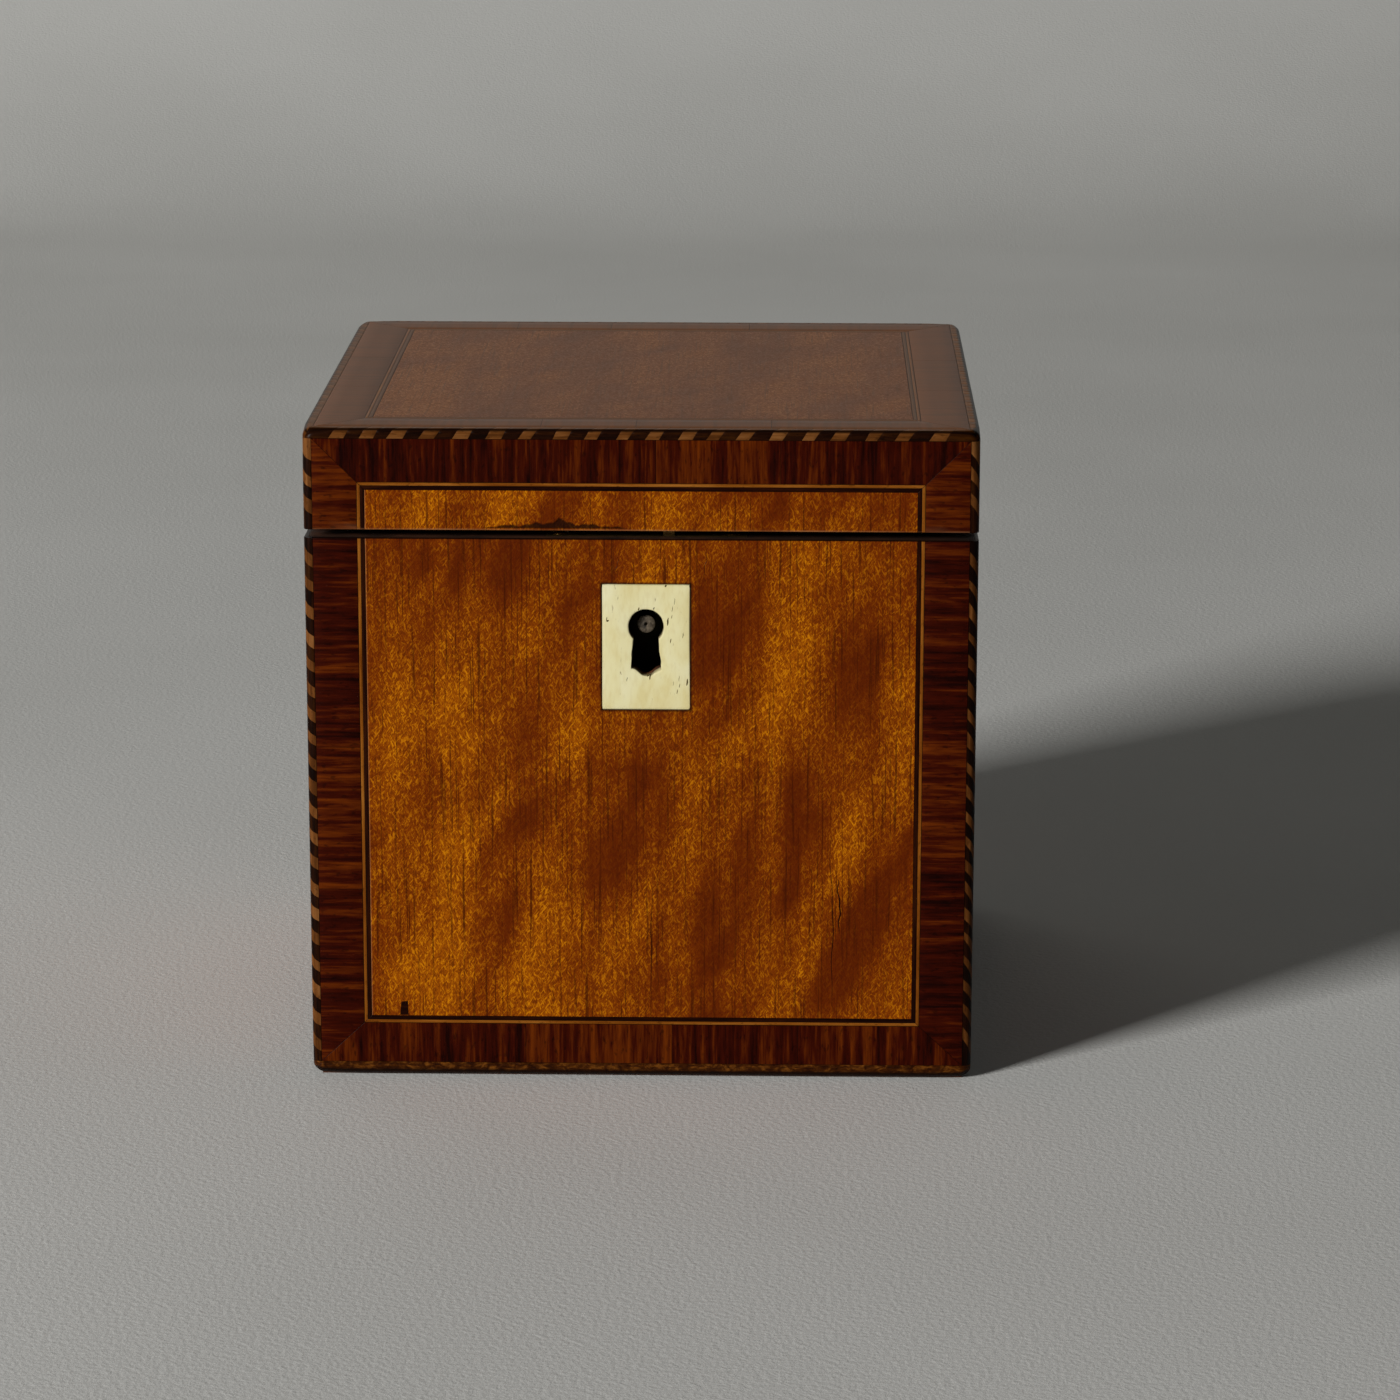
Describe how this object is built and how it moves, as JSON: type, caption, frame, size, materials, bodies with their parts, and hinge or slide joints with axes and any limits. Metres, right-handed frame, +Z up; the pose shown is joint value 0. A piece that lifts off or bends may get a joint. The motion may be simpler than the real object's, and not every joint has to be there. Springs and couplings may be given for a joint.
{
  "type": "tea caddy",
  "caption": "Cube-shaped wooden tea caddy with crossbanded satinwood veneer, hinged lid, box lock and lined inside with a loose inner lid.",
  "frame": {"origin": "centre of the underside", "axes": "+Z up, the front with the keyhole faces -Y, +X is to the right seen from the front"},
  "size_m": [0.12, 0.123, 0.12],
  "materials": {
    "satinwood": "old French polish, semi-gloss, mottled figure",
    "crossband": "polished, streaked grain across the band",
    "stringing": "light and dark lines side by side, polished",
    "rope_edging": "slanted light and dark blocks, polished",
    "base_edging": "dark, worn",
    "carcase": "plain mahogany, unpolished inside",
    "inner_lid_wood": "polished mahogany",
    "bone": "polished bone with dark pores",
    "lock_brass": "tarnished",
    "lock_steel": "dark, worn",
    "hinge_brass": "tarnished",
    "tea_lead": "dull grey tea-lead foil over thin wood"
  },
  "bodies": {
    "case": {"bottom_board": "carcase", "front_wall": "carcase", "back_wall": "carcase", "left_wall": "carcase", "right_wall": "carcase", "body_front_crossband": "crossband", "body_front_stringing": "stringing", "body_front_panel": "satinwood", "body_right_crossband": "crossband", "body_right_stringing": "stringing", "body_right_panel": "satinwood", "body_back_crossband": "crossband", "body_back_stringing": "stringing", "body_back_panel": "satinwood", "body_left_crossband": "crossband", "body_left_stringing": "stringing", "body_left_panel": "satinwood", "body_front_left_rope_edging": "rope_edging", "body_front_right_rope_edging": "rope_edging", "body_back_left_rope_edging": "rope_edging", "body_back_right_rope_edging": "rope_edging", "base_edging": "base_edging", "keyhole_escutcheon": "bone", "lock_case": "lock_brass", "left_hinge_body_leaf": "hinge_brass", "left_hinge_pin": "hinge_brass", "right_hinge_body_leaf": "hinge_brass", "right_hinge_pin": "hinge_brass", "tea_liner": "tea_lead"},
    "lid": {"lid_board": "carcase", "lid_front_rail": "carcase", "lid_back_rail": "carcase", "lid_left_rail": "carcase", "lid_right_rail": "carcase", "lid_front_crossband": "crossband", "lid_front_stringing": "stringing", "lid_front_panel": "satinwood", "lid_right_crossband": "crossband", "lid_right_stringing": "stringing", "lid_right_panel": "satinwood", "lid_back_crossband": "crossband", "lid_back_stringing": "stringing", "lid_back_panel": "satinwood", "lid_left_crossband": "crossband", "lid_left_stringing": "stringing", "lid_left_panel": "satinwood", "lid_top_crossband": "crossband", "lid_top_stringing": "stringing", "lid_top_panel": "satinwood", "lid_front_left_rope_edging": "rope_edging", "lid_front_right_rope_edging": "rope_edging", "lid_back_left_rope_edging": "rope_edging", "lid_back_right_rope_edging": "rope_edging", "lid_top_rope_edging": "rope_edging", "link_plate": "lock_brass", "left_hinge_lid_leaf": "hinge_brass", "right_hinge_lid_leaf": "hinge_brass"},
    "lock_bolt": {"lock_bolt": "lock_steel"},
    "inner_lid": {"inner_lid": "inner_lid_wood", "inner_lid_knob": "bone"}
  },
  "joints": [
    {"name": "lid_hinge", "type": "hinge", "parent": "case", "child": "lid", "pos_m": [0, 0.0612, 0.10095], "axis": [-1, 0, 0], "range_deg": [0, 100]},
    {"name": "lock_bolt_slide", "type": "slide", "parent": "case", "child": "lock_bolt", "axis": [1, 0, 0], "range_m": [0, 0.004]},
    {"name": "inner_lid_lift", "type": "slide", "parent": "case", "child": "inner_lid", "axis": [0, 0, 1], "range_m": [0, 0.0095]}
  ]
}
